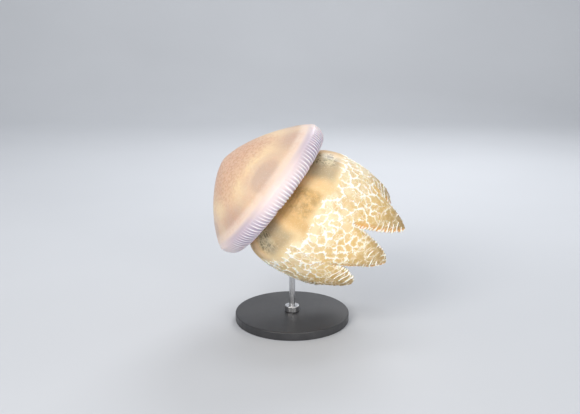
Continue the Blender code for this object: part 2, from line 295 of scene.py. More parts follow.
def bell_profile():
    """Rows of (radius, height, along) down the outside, round the edge, and up the inside to its top.

    along is 0 to 1 on the dome, 1 to 2 on the margin's outside, 2 to 3 on its inside, 3 to 4 in the hollow.
    """
    share = np.linspace(0, 1, DOME_ROWS)[1:]
    radius = BELL_RADIUS * np.sin(0.5 * np.pi * share) ** 0.92
    radius[-1] = BELL_RADIUS
    dome = np.stack([radius, dome_height(radius), share], 1)

    share = np.linspace(0, 1, MARGIN_ROWS)[1:]
    turn = 0.5 * np.pi * share
    out = np.abs(np.cos(turn)) ** (2 / EDGE_POWER)
    out[-1] = 0.0
    fall = np.sin(turn) ** (2 / EDGE_POWER)
    margin = np.stack([EDGE_RADIUS + (BELL_RADIUS - EDGE_RADIUS) * out, -EDGE_DEPTH * fall, 1 + share], 1)

    keys = np.array((  # (share of the way up the margin's inside, radius, height)
        (0.0, EDGE_RADIUS - 0.9 * MARGIN_THICKNESS, -0.985 * EDGE_DEPTH),
        (0.25, EDGE_RADIUS - 0.5 * MARGIN_THICKNESS, -0.60 * EDGE_DEPTH),
        (0.70, 0.80 * BELL_RADIUS, -0.05 * EDGE_DEPTH),
        (1.0, CAVITY_RADIUS * math.sqrt(1 - (MARGIN_CUT / CAVITY_HEIGHT) ** 2), MARGIN_CUT),
    ))
    share = np.linspace(0, 1, LINING_ROWS)
    lining = np.stack([through(keys[:, (0, 1)], share), through(keys[:, (0, 2)], share), 2 + share], 1)

    share = np.linspace(0, 1, HOLLOW_ROWS)[1:-1]
    start = math.asin(MARGIN_CUT / CAVITY_HEIGHT)
    turn = start + (0.5 * np.pi - start) * share
    hollow = np.stack([CAVITY_RADIUS * np.cos(turn), CAVITY_HEIGHT * np.sin(turn), 3 + share], 1)
    return np.concatenate([dome, margin, lining, hollow])


def lappet_waves(azimuth, band):
    """0 in the grooves of the marginal band to 1 between them, a little unevenly spaced."""
    uneven = 0.004 * np.sin(11 * azimuth) + 0.003 * np.sin(29 * azimuth) + 0.003 * np.sin(47 * azimuth + 1)
    bent = 0.012 * np.sin(4 * azimuth + 0.6) * np.clip(band, 0, 1) ** 2
    return np.abs(np.sin(0.5 * LAPPETS * (azimuth + uneven + bent))) ** 0.7


def sense_notches(azimuth):
    """1 in the notches of the sense organs, fading to 0 beside them."""
    pitch = 2 * np.pi / SENSE_ORGANS
    off = np.abs((azimuth + 0.5 * pitch) % pitch - 0.5 * pitch) * EDGE_RADIUS
    return hump(off, NOTCH_HALF_WIDTH)


def bell_rows(profile, azimuth, band, lobe):
    """The profile turned about Z, with its grooves, lappets, notches, slow ripples and inner folds."""
    radius, height, along = (profile[:, [column]] for column in range(3))
    notch = sense_notches(azimuth)
    ripple = 0.5 * np.cos(5 * azimuth + 0.7) + 0.3 * np.cos(9 * azimuth + 2.0) + 0.2 * np.cos(14 * azimuth)
    grooved = smoothstep(0.25, 0.80, band) * smoothstep(2.75, 2.2, along)
    hanging = smoothstep(1.45, 1.95, along) * smoothstep(2.6, 2.1, along)
    rippled = smoothstep(0.8, 1.6, along) * smoothstep(2.9, 2.4, along)
    folded = smoothstep(3.0, 3.3, along)
    out = radius + grooved * (GROOVE_DEPTH * (lobe - 0.65)) - hanging * NOTCH_INSET * notch
    out = out + RIPPLE_OUT * ripple * rippled
    out = out + folded * FOLD_HEIGHT * np.cos(2 * np.pi * radius / FOLD_SPACING)
    up = height + hanging * (LAPPET_DEPTH * (1 - lobe) + NOTCH_DEPTH * notch) + RIPPLE_UP * ripple * hanging
    return swept(out, up, azimuth)


def note_pouches(mesh, points):
    """Keeps how far a vertex is from its stomach pouch's middle, 1 at the rim, and how far round from it."""
    around = np.arctan2(points[:, 0], -points[:, 1]) - math.radians(INNER_TURN)
    quarter = (around + 0.25 * np.pi) % (0.5 * np.pi) - 0.25 * np.pi
    aside = np.hypot(points[:, 0], points[:, 1]) * np.sin(quarter) / POUCH_HALF_WIDTH
    up = (points[:, 2] - POUCH_HEIGHT) / POUCH_HALF_HEIGHT
    wander = 0.08 * soft_noise(points, 0.05, 7) + 0.05 * soft_noise(points, 0.02, 8)
    note(mesh, "pouch", np.sqrt(aside**2 + up**2) + wander)
    note(mesh, "between", np.abs(quarter) / (0.25 * np.pi))


def make_bell():
    profile = bell_profile()
    height, along = profile[:, [1]], profile[:, [2]]
    azimuth = 2 * np.pi * np.arange(BELL_COLUMNS)[None, :] / BELL_COLUMNS
    band = np.where(along < 2, (BAND_TOP - height) / (BAND_TOP + EDGE_DEPTH), 1.0)
    lobe = lappet_waves(azimuth, band)
    rows = bell_rows(profile, azimuth, band, lobe)
    mesh = closed_grid("bell_skin", rows)

    def at_vertices(values, apex, hollow_top):
        """The rows' values, spread over all vertices, and those of the two middles that close the mesh."""
        return np.append(np.broadcast_to(values, rows.shape[:2]), (apex, hollow_top))

    points = points_of(mesh)
    stretch = at_vertices(along, along[0, 0], along[-1, 0])
    grain = soft_noise(points, 0.0022, 3) * 0.00012 + soft_noise(points, 0.012, 5) * 0.0003
    set_points(mesh, points + normals_of(mesh) * (grain * (stretch < 1.3))[:, None])
    note(mesh, "along", stretch)
    note(mesh, "band", at_vertices(band, -1.0, 1.0))
    note(mesh, "lobe", at_vertices(lobe, 1.0, 1.0))
    note_pouches(mesh, points)
    return posed_object("bell_skin", mesh)


# --------------------------------------------------------------------------------------------- the arms

def edges_of(index, depth):
    """(left azimuth, right azimuth) of an arm at each depth.

    Down to the point where it parts from a neighbour, an arm reaches the plane halfway to it. Below that,
    its edge runs on to the tip: nearly straight on the left and bowed on the right.
    """
    middle, tip, tip_depth, part_left = ARMS[index]
    before, after = ARMS[index - 1], ARMS[(index + 1) % len(ARMS)]
    part_right = after[3]
    left = middle - 0.5 * ((middle - before[0]) % 360)
    right = middle + 0.5 * ((after[0] - middle) % 360)
    share_left = np.clip((depth - part_left) / (tip_depth - part_left), 0, 1)
    share_right = np.clip((depth - part_right) / (tip_depth - part_right), 0, 1)
    left = tip + (left - tip) * (1 - share_left**1.3) ** 0.68
    right = tip + (right - tip) * (1 - share_right**2.6) ** 0.58
    return left, right


def polar(radius, azimuth):
    angle = math.radians(azimuth)
    return radius * math.sin(angle), -radius * math.cos(angle)


def arm_section(index, depth):
    """The (x, y) outline of an arm at a depth: an outer plate with two wings, and an inner wing."""
    left, right = (float(edge) for edge in edges_of(index, depth))
    middle = 0.5 * (left + right)
    tip_depth = ARMS[index][2]
    along = (depth - ARM_TOP) / (tip_depth - ARM_TOP)
    outer = float(through(OUTER_RADIUS, depth)) * (1 - TIP_TURN * along**TIP_TURN_POWER)
    inner = outer * (1 - float(through(ARM_DEPTH_INWARD, along)))
    half = 0.5 * math.radians(right - left)
    width = outer * math.sin(half)
    plate = min(PLATE, 0.42 * (outer - inner), 0.75 * width + 0.002)
    web = min(WEB, 0.42 * width)
    window = WINDOW_DEPTH if index % 2 else 0.2 * WINDOW_DEPTH
    window *= math.exp(-(((depth - WINDOW_CENTRE) / WINDOW_REACH) ** 2))

    def apart(side):
        """How far the arm has parted from its neighbour on one side, 0 to 1. Above that the two are one."""
        parting = ARMS[(index + (side > 0)) % len(ARMS)][3]
        return float(smoothstep(parting - 0.022, parting + 0.010, depth))

    def at_edge(radius, side):
        """A point on the wing's flank, which crosses the plane between the arms until they part."""
        edge = right if side > 0 else left
        gap = (apart(side) - 1) * ARM_GAP
        return polar(radius, edge - side * math.degrees(math.asin(gap / radius)))

    def off_middle(radius, offset):
        """A point on the inner wing, at an offset to the side from the arm's middle plane."""
        x, y = polar(radius, middle)
        cross = math.radians(middle)
        limit = radius * math.tan(half) - ARM_GAP / math.cos(half)
        offset = max(-limit, min(limit, offset))
        return x + offset * math.cos(cross), y + offset * math.sin(cross)

    def side_points(side):
        """From the inner wing's root to the outer face, on one side."""
        corner = min(CORNER, 0.45 * width, 0.45 * plate) * (0.15 + 0.85 * apart(side))
        span = math.degrees(half) * side
        turn = math.degrees(corner / outer) * side
        deep = outer - plate
        return [
            off_middle(inner + 0.4 * web, side * 0.8 * web),
            off_middle(inner + 0.55 * (deep - inner), side * web),
            off_middle(deep - 0.15 * plate, side * (web + 0.25 * (width - web))),
            at_edge(deep + 0.45 * plate, side),
            at_edge(outer - corner, side),
            polar(outer - 0.12 * corner, middle + span - turn),
            polar(outer - 0.5 * window, middle + 0.45 * span),
        ]

    keel = off_middle(inner, 0.0)
    face = polar(outer - window, middle)
    return [keel] + side_points(1) + [face] + side_points(-1)[::-1]


def closed_spline(points, steps):
    """More points on the smooth closed curve through the points."""
    p = np.array(points)
    before, after, beyond = np.roll(p, 1, 0), np.roll(p, -1, 0), np.roll(p, -2, 0)
    made = []
    for t in np.arange(steps) / steps:
        made.append(0.5 * (2 * p + (after - before) * t + (2 * before - 5 * p + 4 * after - beyond) * t**2
                           + (3 * p - before - 3 * after + beyond) * t**3))
    return np.stack(made, 1).reshape(-1, 2)


def arm_loft(index):
    """One arm drawn through its sections, which lie closer together towards the tip."""
    top = ARM_TOP - ARM_OVERLAP
    reach = BLUNTNESS * ARMS[index][2] - ARM_TOP
    rings = []
    for depth in top + reach * np.sin(0.5 * np.pi * np.linspace(0, 1, 64)):
        outline = closed_spline(arm_section(index, max(depth, ARM_TOP)), 5)
        rings.append(np.column_stack([outline, np.full(len(outline), -depth)]))
    return closed_grid("arm", np.array(rings))


def turned(profile, columns):
    """A closed mesh from (radius, height) points turned about Z."""
    azimuth = 2 * np.pi * np.arange(columns) / columns
    radius, height = np.array(profile).T[:, :, None]
    return closed_grid("turned", swept(radius, height, azimuth))


def arm_disc():
    """A disc with a rounded rim, whose underside sinks into the arms' tops."""
    middle, half = 0.5 * (DISC_TOP + DISC_BOTTOM), 0.5 * (DISC_TOP - DISC_BOTTOM)
    turn = np.linspace(0.5 * np.pi, -0.5 * np.pi, 17)
    rim = np.stack([DISC_RADIUS - half + half * np.cos(turn), middle + half * np.sin(turn)], 1)
    rim[-1, 1] -= DISC_OVERLAP
    return turned([(0.002, DISC_TOP)] + rim.tolist() + [(0.002, DISC_BOTTOM - DISC_OVERLAP)], 96)


def pillar(number):
    """A post that flares at both ends, from inside the disc into the bell's ceiling."""
    azimuth = 360 * (number + 0.5) / PILLARS
    ceiling = CAVITY_HEIGHT * math.sqrt(1 - (PILLAR_CIRCLE / CAVITY_RADIUS) ** 2)
    foot, head = DISC_TOP - 0.003, ceiling + 0.0015
    share = np.linspace(0, 1, 24)
    flare = 0.9 + 0.35 * share + 0.35 * hump(share, 0.16) + 0.3 * hump(1 - share, 0.14)
    mesh = turned(np.stack([PILLAR_RADIUS * flare, foot + (head - foot) * share], 1)[::-1], 48)
    mesh.transform(Matrix.Translation((*polar(PILLAR_CIRCLE, azimuth), 0)))
    return mesh


def fused(meshes):
    """One closed mesh over the union of the meshes."""
    bm = bmesh.new()
    for mesh in meshes:
        bm.from_mesh(mesh)
    joined = bpy.data.meshes.new("joined")
    bm.to_mesh(joined)
    bm.free()
    source = new_object("joined", joined)
    remesh = source.modifiers.new("union", "REMESH")
    remesh.mode = "VOXEL"
    remesh.voxel_size = VOXEL
    soften = source.modifiers.new("soften", "SMOOTH")
    soften.factor = 0.5
    soften.iterations = 6
    graph = bpy.context.evaluated_depsgraph_get()
    mesh = bpy.data.meshes.new_from_object(source.evaluated_get(graph))
    bpy.data.objects.remove(source)
    return mesh


class Places:
    """Where points lie on the arms.

    azimuth, depth and radius are measured in the animal's frame. number is the nearest arm's, and across goes
    over its width from -1 to 1. to_edge and to_tip are the metres to its nearer edge and down to its tip.
    past_parting is how far a point is below the place where the arm parts from its neighbour on that side.
    """

    def __init__(self, points):
        self.points = points
        self.depth = -points[:, 2]
        self.radius = np.hypot(points[:, 0], points[:, 1])
        self.azimuth = np.degrees(np.arctan2(points[:, 0], -points[:, 1])) % 360
        self.number = np.zeros(len(points), dtype=int)
        self.across = np.zeros(len(points))
        self.to_edge = np.zeros(len(points))
        nearest = np.full(len(points), 1e9)
        for index, arm in enumerate(ARMS):
            left, right = edges_of(index, np.minimum(self.depth, 0.995 * arm[2]))
            middle, half = 0.5 * (left + right), 0.5 * (right - left)
            off = (self.azimuth - middle + 180) % 360 - 180
            beside = np.maximum(0, np.abs(off) - half) * np.pi / 180 * self.radius
            past = beside + np.maximum(0, self.depth - arm[2])
            nearer = past < nearest
            nearest = np.where(nearer, past, nearest)
            self.number = np.where(nearer, index, self.number)
            self.across = np.where(nearer, np.clip(off / np.maximum(half, 0.5), -1.4, 1.4), self.across)
            self.to_edge = np.where(nearer, (half - np.abs(off)) * np.pi / 180 * self.radius, self.to_edge)
        self.to_tip = np.array([arm[2] for arm in ARMS])[self.number] - self.depth
        left_partings = np.array([arm[3] for arm in ARMS])
        right_partings = np.roll(left_partings, -1)
        partings = np.where(self.across < 0, left_partings[self.number], right_partings[self.number])
        self.past_parting = self.depth - partings

    def noise(self, size, seed):
        return soft_noise(self.points, size, seed)


# ---------------------------------------------------------------------------------------------- the net

def net_coordinates(at):
    """Places in units of net cells, bent by noise: round the animal, down it, and in from its outer face.

    The second result is where the noise is read: round and down the animal, with no seam at azimuth 0.
    """
    steps = np.linspace(0, 0.24, 241)
    lengths = through(NET_LENGTHS, 0.5 * (steps[1:] + steps[:-1]))
    down = np.interp(at.depth, steps, np.concatenate([[0], np.cumsum(0.001 / lengths)]))
    inward = (through(OUTER_RADIUS, at.depth) - at.radius) / NET_LAYER + 0.5
    angle = np.radians(at.azimuth)
    seamless = np.stack([np.cos(angle) * NET_CIRCLE, np.sin(angle) * NET_CIRCLE, down], 1)
    bent = np.stack([at.azimuth / 360 * NET_COLUMNS, down, inward], 1)
    for axis in (0, 1):
        for size, sway, seed in NET_BENDS:
            bent[:, axis] += sway * soft_noise(seamless, size, seed + 10 * axis)
    return bent, seamless


class NetCells:
    """The cells of a net, each round its own seed, which lies at random in one box of a grid."""

    def __init__(self, coordinates, at):
        self.box = np.floor(coordinates).astype(np.int64)
        self.part = coordinates - self.box
        self.scale = np.stack([2 * np.pi * at.radius / NET_COLUMNS, through(NET_LENGTHS, at.depth),
                               np.full(len(self.box), NET_LAYER)], 1)
        self.nearest_seed()

    def seed_in(self, shift):
        """(vector to the seed in the box at a shift from each place's own, in metres; that cell's label)."""
        column, row, layer = (self.box + shift).T
        column = column % NET_COLUMNS
        around, down = (0.08 + 0.84 * hashed(column, row, layer, seed) for seed in (1, 2))
        jitter = np.stack([around, down, np.full(len(column), 0.5)], 1)
        label = column + 1000 * (row + 50) + 1000000 * (layer + 50)
        return (shift + jitter - self.part) * self.scale, label

    def nearest_seed(self):
        """Finds the cell that each place is in: own, the vector to its seed, and label."""
        nearest = np.full(len(self.box), 1e9)
        self.own = np.zeros((len(self.box), 3))
        self.label = np.zeros(len(self.box), dtype=np.int64)
        for shift in np.ndindex(3, 3, 3):
            seed, label = self.seed_in(np.array(shift) - 1)
            far = np.linalg.norm(seed, axis=1)
            closer = far < nearest
            nearest = np.where(closer, far, nearest)
            self.own = np.where(closer[:, None], seed, self.own)
            self.label = np.where(closer, label, self.label)

    def walls(self, ribbed):
        """For the two nearest walls of each place's cell: (metres to them, strength of the lines on them)."""
        wall = np.full((2, len(self.box)), 1.0)
        strength = np.zeros((2, len(self.box)))
        for shift in np.ndindex(5, 5, 3):
            seed, label = self.seed_in(np.array(shift) - (2, 2, 1))
            apart = seed - self.own
            length = np.maximum(np.linalg.norm(apart, axis=1), 1e-6)
            far = np.abs(np.sum(0.5 * (seed + self.own) * apart, 1)) / length
            far = np.where(length > 1e-5, far, 1.0)
            chance = hashed(np.minimum(label, self.label), np.maximum(label, self.label), 7)
            whole = smoothstep(0.24, 0.74, chance) * (0.75 + 0.45 * chance)
            whole = whole * (1 - 0.9 * ribbed * smoothstep(0.35, 0.8, np.abs(apart[:, 0]) / length))
            first, second = far < wall[0], far < wall[1]
            strength[1] = np.where(first, strength[0], np.where(second, whole, strength[1]))
            wall[1] = np.where(first, wall[0], np.where(second, far, wall[1]))
            strength[0] = np.where(first, whole, strength[0])
            wall[0] = np.where(first, far, wall[0])
        return wall, strength


def net_lines(at, ribbed):
    """The net: (whiteness of its lines, 0 to 1; a number for the cell, 0 to 1; metres to the nearest line).

    Lines are strongest where three cells meet. Some fade out between two such places, which leaves stars.
    Where ribbed is 1, the lines that run along the arm fade too, which leaves ribs across it.
    """
    coordinates, seamless = net_coordinates(at)
    cells = NetCells(coordinates, at)
    wall, strength = cells.walls(ribbed)
    corner = hump(wall[1], 0.0042) * (1 - 0.6 * ribbed)
    corner = corner * (1 + 0.5 * hump(at.depth - 0.076, 0.012))
    uneven = 1 + 0.45 * soft_noise(seamless, 0.28, 17) + 0.50 * soft_noise(seamless, 0.10, 18)
    uneven = np.maximum(uneven, 0.1)
    white = np.zeros(len(wall[0]))
    for far, strong in zip(wall, strength):
        half_width = NET_HALF_WIDTH * uneven * (strong * (0.60 + 0.25 * corner) + 0.58 * corner)
        line = np.clip(1 - far / np.maximum(2.1 * half_width, 1e-6), 0, 1)
        line = line * smoothstep(0.0002, 0.0007, half_width)
        white = 1 - (1 - white) * (1 - smoothstep(0, 1, line))
    return white, hashed(cells.label, 9), np.where(strength[0] > 0.1, wall[0], wall[0] + 0.002)


# --------------------------------------------------------------------------------------- the arms' skin

def net_start(at):
    """The depth at which the smooth roots end and the net begins."""
    angle = np.radians(at.azimuth)
    window = 0.5 - 0.5 * np.cos(4 * (angle - math.radians(INNER_TURN)))
    wave = 0.0040 * at.noise(0.016, 21) + 0.0030 * at.noise(0.006, 22)
    return 0.069 + 0.006 * np.cos(2 * angle) + 0.003 * np.cos(8 * angle) + 0.004 * window + wave


def tip_ribs(at, face):
    """Ribs across the outer face near the tips, 0 to 1, that run out here and there."""
    from_tip = at.to_tip + 0.007 * at.across**2 + 0.0020 * at.noise(0.012, 51)
    rib = np.clip(2.0 * np.cos(2 * np.pi * from_tip / RIB_SPACING) - 1.0, 0, 1)
    rib = rib * smoothstep(0.066, 0.036, from_tip)
    whole = smoothstep(-0.30, 0.35, at.noise(0.012, 52) + 0.45 * np.abs(at.across) - 0.1)
    return rib * whole * face


def edge_frills(at, face, netted, parted):
    """The beaded frills along the arms' edges, 0 to 1, fuller where the arms have parted."""
    edge = hump(np.maximum(at.to_edge, 0), 0.0022) * netted * face
    beads = 0.5 + 0.5 * np.cos(2 * np.pi * at.depth / BEAD_SPACING + 5 * at.noise(0.02, 31))
    return edge * (0.20 + 0.80 * beads) * (0.55 + 0.45 * parted)


def inner_ruffles(at, face):
    """The waves of the inner wings, -1 to 1."""
    wave = np.cos(2 * np.pi * at.depth / RUFFLE_SPACING + 6 * at.noise(0.018, 61))
    return (1 - face) * smoothstep(0.080, 0.110, at.depth) * wave


def note_root_places(mesh, at):
    """Keeps where a vertex lies in the colour pattern of the roots, which repeats every 90 or 180 degrees."""
    turn = (at.azimuth + 180) % 360 - 180 - INNER_TURN
    note(mesh, "quarter", np.abs((turn + 45) % 90 - 45))
    # Which side of a ridge a vertex is on, for a colour that differs there partly by painted light.
    note(mesh, "side_tone_and_light", np.sin(np.radians(4 * turn)))
    note(mesh, "spots", np.abs(np.abs((turn + 90) % 180 - 90) - 55))


def make_arms():
    lofts = [arm_loft(index) for index in range(len(ARMS))]
    mesh = fused(lofts + [arm_disc()] + [pillar(number) for number in range(PILLARS)])
    at = Places(points_of(mesh))
    ribbed = smoothstep(0.075, 0.025, at.to_tip)
    net, cell, to_line = net_lines(at, ribbed)
    start = net_start(at)
    netted = smoothstep(start - 0.007, start + 0.007, at.depth)
    stars = smoothstep(start - 0.006, start + 0.004, at.depth)
    face = smoothstep(0.030, 0.012, through(OUTER_RADIUS, at.depth) - at.radius)
    parted = smoothstep(-0.002, 0.010, at.past_parting)
    fading = (1 - 0.28 * smoothstep(0.095, 0.145, at.depth)) * (1 - 0.4 * ribbed)
    line = np.maximum(net * stars * fading, 0.85 * tip_ribs(at, face))
    frill = edge_frills(at, face, netted, parted)
    fringe = at.noise(0.0028, 41)
    frayed = smoothstep(0.22, 0.60, at.noise(0.0024, 71)) * np.exp(-to_line / 0.0018) * stars * fading
    # A painted orange fringe of light along the arms' lower edges.
    painted_orange_fringe = hump(np.maximum(at.to_edge, 0), 0.0045) * parted * face * smoothstep(0.2, -0.4, at.across)
    note(mesh, "net", np.clip(np.maximum(line, 0.75 * frayed) + 0.85 * frill, 0, 1))
    note(mesh, "halo", np.exp(-to_line / 0.0028) * stars)
    note(mesh, "netted", netted)
    note(mesh, "cell", cell)
    note(mesh, "tip", smoothstep(0.060, 0.0, at.to_tip))
    note(mesh, "inside", 1 - face)
    note(mesh, "depth", at.depth)
    note_root_places(mesh, at)
    note(mesh, "rim", painted_orange_fringe)
    lift = (SKIN_LIFT + LINE_RELIEF * line * (1 + 0.45 * fringe) + FRILL_RELIEF * frill
            + PUFF_RELIEF * (1 - np.exp(-to_line / 0.0035)) * netted + RUFFLE_RELIEF * inner_ruffles(at, face)
            + 0.0006 * at.noise(0.016, 43) + 0.00022 * fringe * netted)
    side = smoothstep(0.25, 1.0, np.abs(at.across)) * face * smoothstep(0.125, 0.175, at.depth)
    angle = np.radians(at.azimuth)
    outward = np.stack([np.sin(angle), -np.cos(angle), np.zeros(len(angle))], 1)
    set_points(mesh, at.points + normals_of(mesh) * lift[:, None] - outward * (SIDE_TAPER * side)[:, None])
    return posed_object("arms_skin", mesh)


# -------------------------------------------------------------------------------------------- materials

class Nodes:
    """A short way to write a material's nodes."""

    def __init__(self, name):
        self.material = bpy.data.materials.new(name)
        self.material.use_nodes = True
        self.tree = self.material.node_tree
        self.shader = self.tree.nodes["Principled BSDF"]

    def add(self, kind, inputs=(), **settings):
        node = self.tree.nodes.new(kind)
        for key, value in settings.items():
            setattr(node, key, value)
        for key, value in dict(inputs).items():
            self.put(node.inputs[key], value)
        return node

    def put(self, socket, value):
        if isinstance(value, bpy.types.NodeSocket):
            self.tree.links.new(value, socket)
        else:
            socket.default_value = value

    def reads(self, name):
        """The number that note() kept for each vertex."""
        return self.add("ShaderNodeAttribute", attribute_name=name).outputs["Fac"]

    def place(self):
        return self.add("ShaderNodeTexCoord").outputs["Object"]

    def math(self, operation, *values):
        return self.add("ShaderNodeMath", enumerate(values), operation=operation).outputs[0]

    def product(self, first, *others):
        for value in others:
            first = self.math("MULTIPLY", first, value)
        return first

    def span(self, value, low, high, out_low=0.0, out_high=1.0):
        """The value's smooth rise from out_low to out_high between low and high."""
        inputs = {"Value": value, "From Min": low, "From Max": high, "To Min": out_low, "To Max": out_high}
        return self.add("ShaderNodeMapRange", inputs, interpolation_type="SMOOTHSTEP").outputs["Result"]

    def blend(self, share, first, second):
        node = self.add("ShaderNodeMix", data_type="RGBA")
        for socket, value in ((node.inputs[0], share), (node.inputs[6], first), (node.inputs[7], second)):
            self.put(socket, value)
        return node.outputs[2]

    def ramp(self, value, *stops):
        """Colours at places from 0 to 1."""
        node = self.add("ShaderNodeValToRGB", {"Fac": value})
        line = node.color_ramp
        line.interpolation = "EASE"
        while len(line.elements) < len(stops):
            line.elements.new(0.5)
        for element, (place, colour) in zip(line.elements, stops):
            element.position = place
            element.color = colour
        return node.outputs["Color"]

    def noise(self, size, detail=3.0, roughness=0.55, vector=None):
        place = self.place() if vector is None else vector
        inputs = {"Vector": place, "Scale": 1 / size, "Detail": detail, "Roughness": roughness}
        return self.add("ShaderNodeTexNoise", inputs).outputs["Fac"]

    def bump(self, height, distance, strength=1.0):
        inputs = {"Height": height, "Distance": distance, "Strength": strength}
        return self.add("ShaderNodeBump", inputs).outputs["Normal"]

    def finish(self, **sockets):
        for key, value in sockets.items():
            self.put(self.shader.inputs[key.replace("_", " ")], value)
        return self.material


def rgb(red, green, blue):
    """A linear colour from sRGB values of 0 to 255."""
    def linear(value):
        value /= 255
        return value / 12.92 if value <= 0.04045 else ((value + 0.055) / 1.055) ** 2.4
    return (linear(red), linear(green), linear(blue), 1.0)


def dome_colour(n, grain, fine):
    """Peach, with freckles round the apex, four pouches that show through with painted shade in their grey
    cores and painted light in their yellow rings, painted shade between them near the band, and a painted
    highlight along the ridge above the band.
    """
    down = n.reads("band")
    pouch = n.reads("pouch")
    between = n.span(n.reads("between"), 0.25, 0.90)
    colour = n.ramp(n.reads("along"),  # from the apex down to the widest circle, paler at its end as a painted highlight
                    (0.00, rgb(237, 201, 176)), (0.30, rgb(232, 192, 164)), (0.62, rgb(231, 189, 159)),
                    (0.86, rgb(238, 205, 180)), (1.00, rgb(248, 228, 214)))
    pouch_shade_and_light = n.ramp(n.product(pouch, 0.7),  # from its grey core, painted shade of the hollow behind it, out across its yellow ring, brightened as painted light
                     (0.00, rgb(212, 186, 169)), (0.28, rgb(216, 189, 169)), (0.44, rgb(238, 210, 180)),
                     (0.62, rgb(253, 225, 184)), (0.98, rgb(240, 207, 173)))
    # The first of these colours is painted shade between the pouches; the second is the ridge's painted
    # highlight.
    painted_shade_grey, painted_ridge_highlight, blotch = rgb(205, 176, 160), rgb(248, 226, 210), rgb(222, 174, 146)
    freckle, speck = rgb(208, 158, 127), rgb(255, 240, 228)
    freckles = n.product(n.span(grain, 0.44, 0.60), n.span(pouch, 0.75, 1.45, 0.12, 0.50))
    freckles = n.product(freckles, n.span(down, -0.50, -1.10, 0.3, 1.0))
    # The pouches show through: partly their own colour, with painted shade in the core and painted light in
    # the ring.
    colour = n.blend(n.span(pouch, 1.75, 0.78), colour, pouch_shade_and_light)
    # Painted shade between the pouches, near the band.
    colour = n.blend(n.product(between, n.span(down, -0.90, -0.30), 0.80), colour, painted_shade_grey)
    # Painted highlight along the ridge, just above the band.
    colour = n.blend(n.span(down, -0.24, -0.04, 0.0, 0.80), colour, painted_ridge_highlight)
    colour = n.blend(n.span(n.noise(0.022, 4), 0.45, 0.72, 0.0, 0.30), colour, blotch)
    colour = n.blend(freckles, colour, freckle)
    return n.blend(n.span(fine, 0.55, 0.75, 0.0, 0.35), colour, speck)


def band_colour(n):
    """The marginal band: pale rose above, where the ridge's painted highlight runs on, lilac below and
    between the pouches, with white crests and painted shade in the grooves.
    """
    down = n.reads("band")
    lobe = n.reads("lobe")
    between = n.span(n.reads("between"), 0.25, 0.90)
    lilac, shade, white = rgb(184, 171, 190), rgb(148, 136, 164), rgb(255, 251, 255)
    # The top of the band carries on the ridge's painted highlight.
    colour = n.ramp(down, (0.00, rgb(248, 226, 210)), (0.16, rgb(242, 222, 214)), (0.45, rgb(232, 215, 216)),
                    (1.00, rgb(216, 203, 212)))
    reach = n.math("MULTIPLY_ADD", between, 0.17, down)
    patchy = n.product(n.span(n.noise(0.030, 2), 0.35, 0.65, 0.55, 1.0), n.span(between, 0.0, 1.0, 0.55, 1.0))
    groove = n.product(n.span(lobe, 0.88, 0.35), n.span(reach, 0.42, 0.88))
    crest = n.product(n.span(lobe, 0.88, 0.995), n.span(reach, 0.38, 0.76))
    colour = n.blend(n.product(between, n.span(down, 0.02, 0.26, 0.0, 0.75)), colour, lilac)
    # Painted shade in the grooves between the lappets, over their lilac.
    colour = n.blend(n.product(groove, patchy, 0.78), colour, shade)
    return n.blend(n.product(crest, 0.9), colour, white)


def bell_material():
    n = Nodes("bell_jelly")
    along = n.reads("along")
    grain = n.noise(0.0040, 3)
    fine = n.noise(0.0014, 2)
    inside = n.ramp(n.product(n.math("SUBTRACT", along, 2.0), 0.5),  # from the margin's edge to the top
                    (0.0, rgb(240, 230, 236)), (0.3, rgb(240, 216, 190)), (0.55, rgb(236, 200, 150)),
                    (1.0, rgb(214, 180, 150)))
    colour = n.blend(n.span(n.reads("band"), -0.06, 0.16), dome_colour(n, grain, fine), band_colour(n))
    colour = n.blend(n.span(along, 2.0, 2.15), colour, inside)
    alpha = n.math("MINIMUM", n.span(along, 0.80, 1.0, 0.86, 0.97), n.span(along, 2.6, 3.1, 0.97, 0.80))
    return n.finish(Base_Color=colour, Roughness=n.span(grain, 0.3, 0.7, 0.34, 0.50), Alpha=alpha,
                    Normal=n.bump(n.math("ADD", grain, n.product(fine, 0.5)), 0.0007, 0.6),
                    Subsurface_Weight=0.35, Subsurface_Radius=(1.0, 0.62, 0.42), Subsurface_Scale=0.006,
                    IOR=1.38, Coat_Weight=0.12, Coat_Roughness=0.25)


